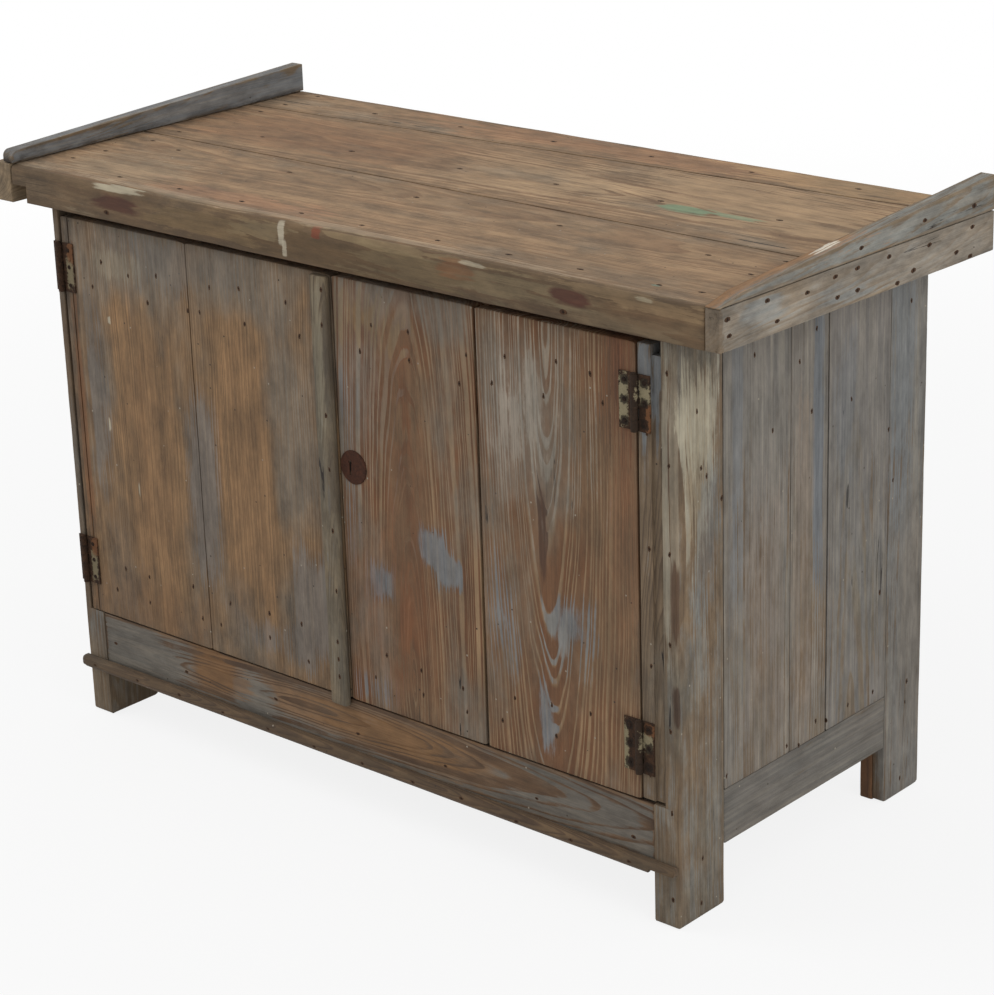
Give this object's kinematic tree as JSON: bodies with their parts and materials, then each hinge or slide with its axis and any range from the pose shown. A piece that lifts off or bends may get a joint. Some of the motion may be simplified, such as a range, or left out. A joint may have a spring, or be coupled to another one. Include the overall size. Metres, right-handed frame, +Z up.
{
  "type": "workshop cabinet",
  "caption": "Freestanding boarded workbench cabinet with a thick plank worktop, raised wedge strips at its ends and a pair of lockable hinged doors.",
  "frame": {"origin": "centre of the worktop's outline, on the ground under the legs", "axes": "+X along the worktop to the right seen from the doors, +Y from the doors to the back, +Z up"},
  "size_m": [1.259, 0.57, 0.855],
  "materials": {
    "worktop_wood": "worn softwood, stained and scratched",
    "painted_wood": "old thin blue-grey paint worn through to brown wood",
    "bare_wood": "unpainted aged softwood",
    "rusty_iron": "rusty dark iron"
  },
  "bodies": {
    "carcase": {"back_board_1": "bare_wood", "back_board_2": "bare_wood", "back_board_3": "bare_wood", "back_post_cleat_left": "bare_wood", "back_post_cleat_right": "bare_wood", "back_post_left": "painted_wood", "back_post_right": "painted_wood", "back_top_rail": "bare_wood", "base_moulding": "painted_wood", "floor_board_back": "bare_wood", "floor_board_front": "bare_wood", "front_bottom_rail": "painted_wood", "front_post_left": "painted_wood", "front_post_right": "painted_wood", "head_rail": "bare_wood", "hinge_strip_right": "painted_wood", "left_end_batten": "worktop_wood", "left_gallery_wedge": "worktop_wood", "left_lower_hinge_frame_leaf": "rusty_iron", "left_lower_hinge_pin": "rusty_iron", "left_upper_hinge_frame_leaf": "rusty_iron", "left_upper_hinge_pin": "rusty_iron", "right_end_batten": "worktop_wood", "right_gallery_wedge": "worktop_wood", "right_lower_hinge_frame_leaf": "rusty_iron", "right_lower_hinge_pin": "rusty_iron", "right_upper_hinge_frame_leaf": "rusty_iron", "right_upper_hinge_pin": "rusty_iron", "shelf_board": "bare_wood", "side_board_left_back": "painted_wood", "side_board_left_front": "painted_wood", "side_board_left_middle": "painted_wood", "side_board_right_back": "painted_wood", "side_board_right_front": "painted_wood", "side_board_right_middle": "painted_wood", "side_rail_left": "painted_wood", "side_rail_right": "painted_wood", "side_top_rail_left": "bare_wood", "side_top_rail_right": "bare_wood", "worktop_back_plank": "worktop_wood", "worktop_front_plank": "worktop_wood", "worktop_middle_plank": "worktop_wood"},
    "left_door": {"cover_strip": "painted_wood", "left_door_bottom_ledge": "bare_wood", "left_door_inner_board": "painted_wood", "left_door_outer_board": "painted_wood", "left_door_top_ledge": "bare_wood", "left_lower_hinge_door_leaf": "rusty_iron", "left_upper_hinge_door_leaf": "rusty_iron", "shutting_bolt_plate": "rusty_iron"},
    "right_door": {"escutcheon": "rusty_iron", "lock_case": "rusty_iron", "right_door_bottom_ledge": "bare_wood", "right_door_inner_board": "painted_wood", "right_door_outer_board": "painted_wood", "right_door_top_ledge": "bare_wood", "right_lower_hinge_door_leaf": "rusty_iron", "right_upper_hinge_door_leaf": "rusty_iron"},
    "lock_bolt": {"lock_bolt": "rusty_iron"},
    "shutting_bolt": {"shutting_bolt_rod": "rusty_iron"}
  },
  "joints": [
    {"name": "left_door_hinge", "type": "hinge", "parent": "carcase", "child": "left_door", "pos_m": [-0.521, -0.273, 0.455], "axis": [0, 0, -1], "range_deg": [0, 165]},
    {"name": "right_door_hinge", "type": "hinge", "parent": "carcase", "child": "right_door", "pos_m": [0.4955, -0.273, 0.455], "axis": [0, 0, 1], "range_deg": [0, 165]},
    {"name": "lock_bolt_slide", "type": "slide", "parent": "right_door", "child": "lock_bolt", "axis": [-1, 0, 0], "range_m": [0, 0.014]},
    {"name": "shutting_bolt_slide", "type": "slide", "parent": "left_door", "child": "shutting_bolt", "axis": [0, 0, -1], "range_m": [0, 0.014]}
  ]
}
